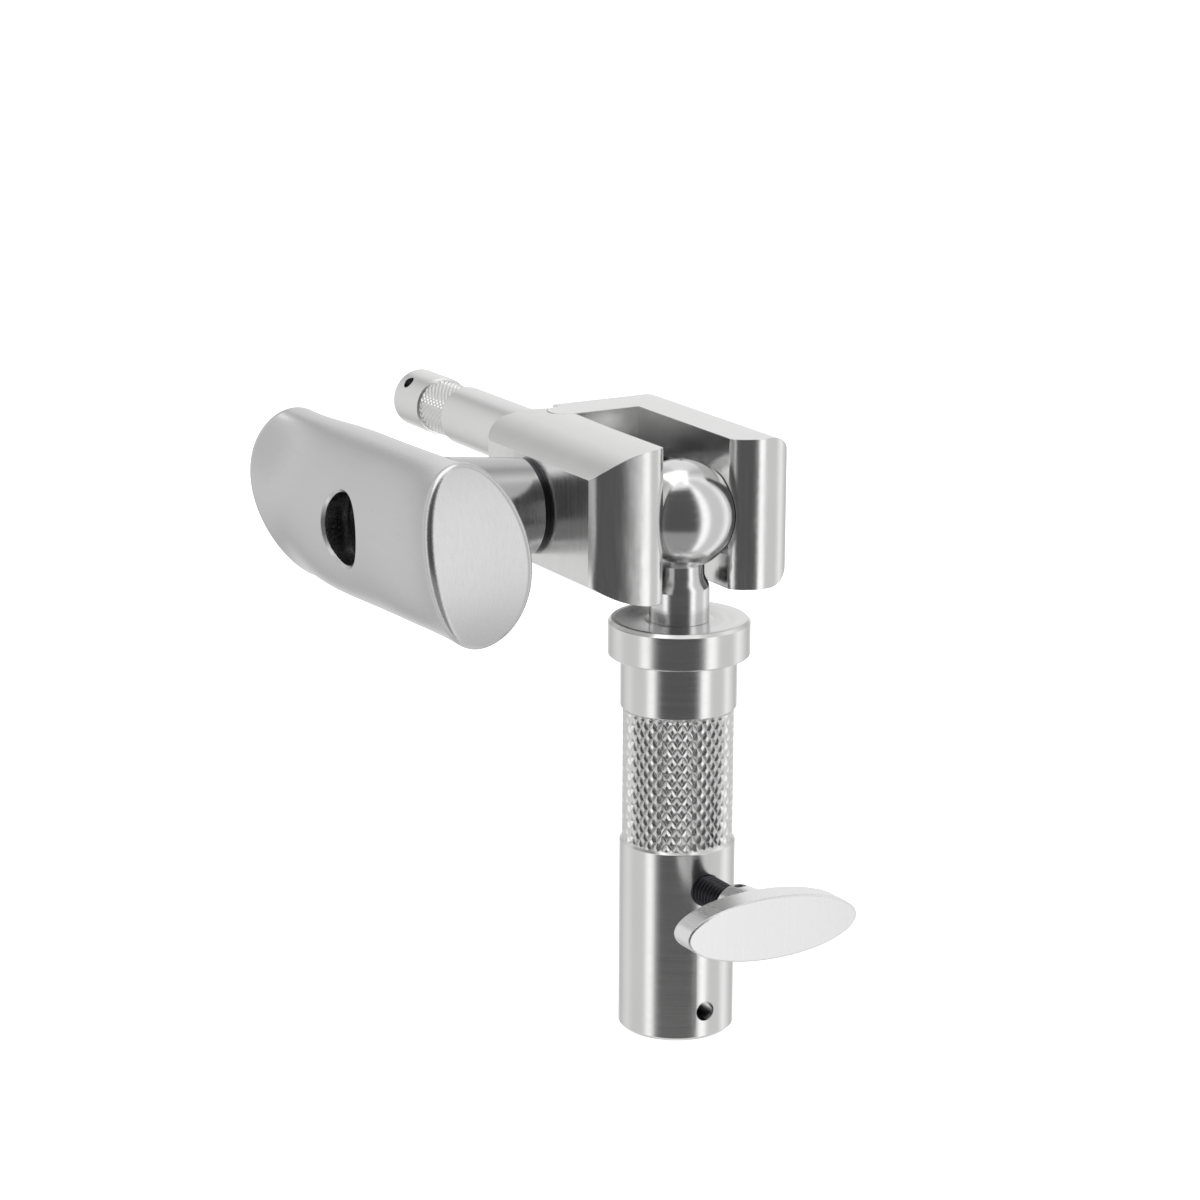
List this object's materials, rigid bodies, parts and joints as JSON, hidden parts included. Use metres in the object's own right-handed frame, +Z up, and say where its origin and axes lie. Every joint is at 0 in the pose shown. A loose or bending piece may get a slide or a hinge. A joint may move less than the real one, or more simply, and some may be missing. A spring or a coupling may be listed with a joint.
{
  "type": "ball-jaw swivel head with baby pin and baby receiver",
  "caption": "Steel swivel head: a pin-and-jaw clamp grips a ball stud on a lockable tubular receiver, turning a light or arm to any angle.",
  "frame": {"origin": "centre of the receiver bore at its open mouth", "axes": "+Z up the bore axis towards the ball, +Y along the baby pin away from the jaws, -X along the clamp screw towards the big handle"},
  "size_m": [0.1069, 0.2002, 0.1535],
  "materials": {
    "satin_steel": "satin, turned and brushed, clear",
    "polished_steel": "polished",
    "black_oxide": "black oxide",
    "brass": "plain turned",
    "spring_steel": "oiled"
  },
  "bodies": {
    "receiver": {"receiver_barrel": "satin_steel"},
    "stud": {"ball_stud": "polished_steel", "stud_washer": "spring_steel", "stud_retaining_ring": "spring_steel"},
    "clamp_head": {"far_jaw": "satin_steel", "baby_pin": "satin_steel", "jaw_spring": "spring_steel"},
    "loose_jaw": {"near_jaw": "satin_steel"},
    "collar": {"thrust_collar": "satin_steel", "thrust_washer": "black_oxide"},
    "big_handle": {"clamp_handle": "satin_steel", "clamp_screw": "black_oxide", "handle_cross_pin": "spring_steel"},
    "pad": {"lock_tip": "brass"},
    "small_handle": {"lock_handle": "satin_steel", "lock_screw": "black_oxide", "lock_roll_pin": "spring_steel"}
  },
  "joints": [
    {"name": "stud_pan", "type": "hinge", "parent": "receiver", "child": "stud", "pos_m": [0, 0, 0.1], "axis": [0, 0, 1], "continuous": true},
    {"name": "clamp_tilt", "type": "hinge", "parent": "stud", "child": "clamp_head", "pos_m": [0, 0, 0.1303], "axis": [1, 0, 0], "range_deg": [-15, 195]},
    {"name": "near_jaw_swing", "type": "hinge", "parent": "clamp_head", "child": "loose_jaw", "pos_m": [-0.009, 0.0404, 0.1303], "axis": [0, 0, -1], "range_deg": [0, 2.1]},
    {"name": "collar_slide", "type": "slide", "parent": "clamp_head", "child": "collar", "axis": [-1, 0, 0], "range_m": [0, 0.00099]},
    {"name": "clamp_handle_turn", "type": "hinge", "parent": "collar", "child": "big_handle", "pos_m": [-0.066, 0.0255, 0.1303], "axis": [-1, 0, 0], "range_deg": [0, 180]},
    {"name": "lock_tip_slide", "type": "slide", "parent": "receiver", "child": "pad", "axis": [0, 1, 0], "range_m": [0, 0.00213]},
    {"name": "lock_handle_turn", "type": "hinge", "parent": "pad", "child": "small_handle", "pos_m": [0, -0.04, 0.0388], "axis": [0, 1, 0], "range_deg": [0, 540]}
  ],
  "couplings": [
    {"joint": "near_jaw_swing", "follows": "clamp_handle_turn", "ratio": 0.0111},
    {"joint": "collar_slide", "follows": "clamp_handle_turn", "m_per_rad": 0.000311},
    {"joint": "lock_tip_slide", "follows": "lock_handle_turn", "m_per_rad": 0.0002246}
  ]
}
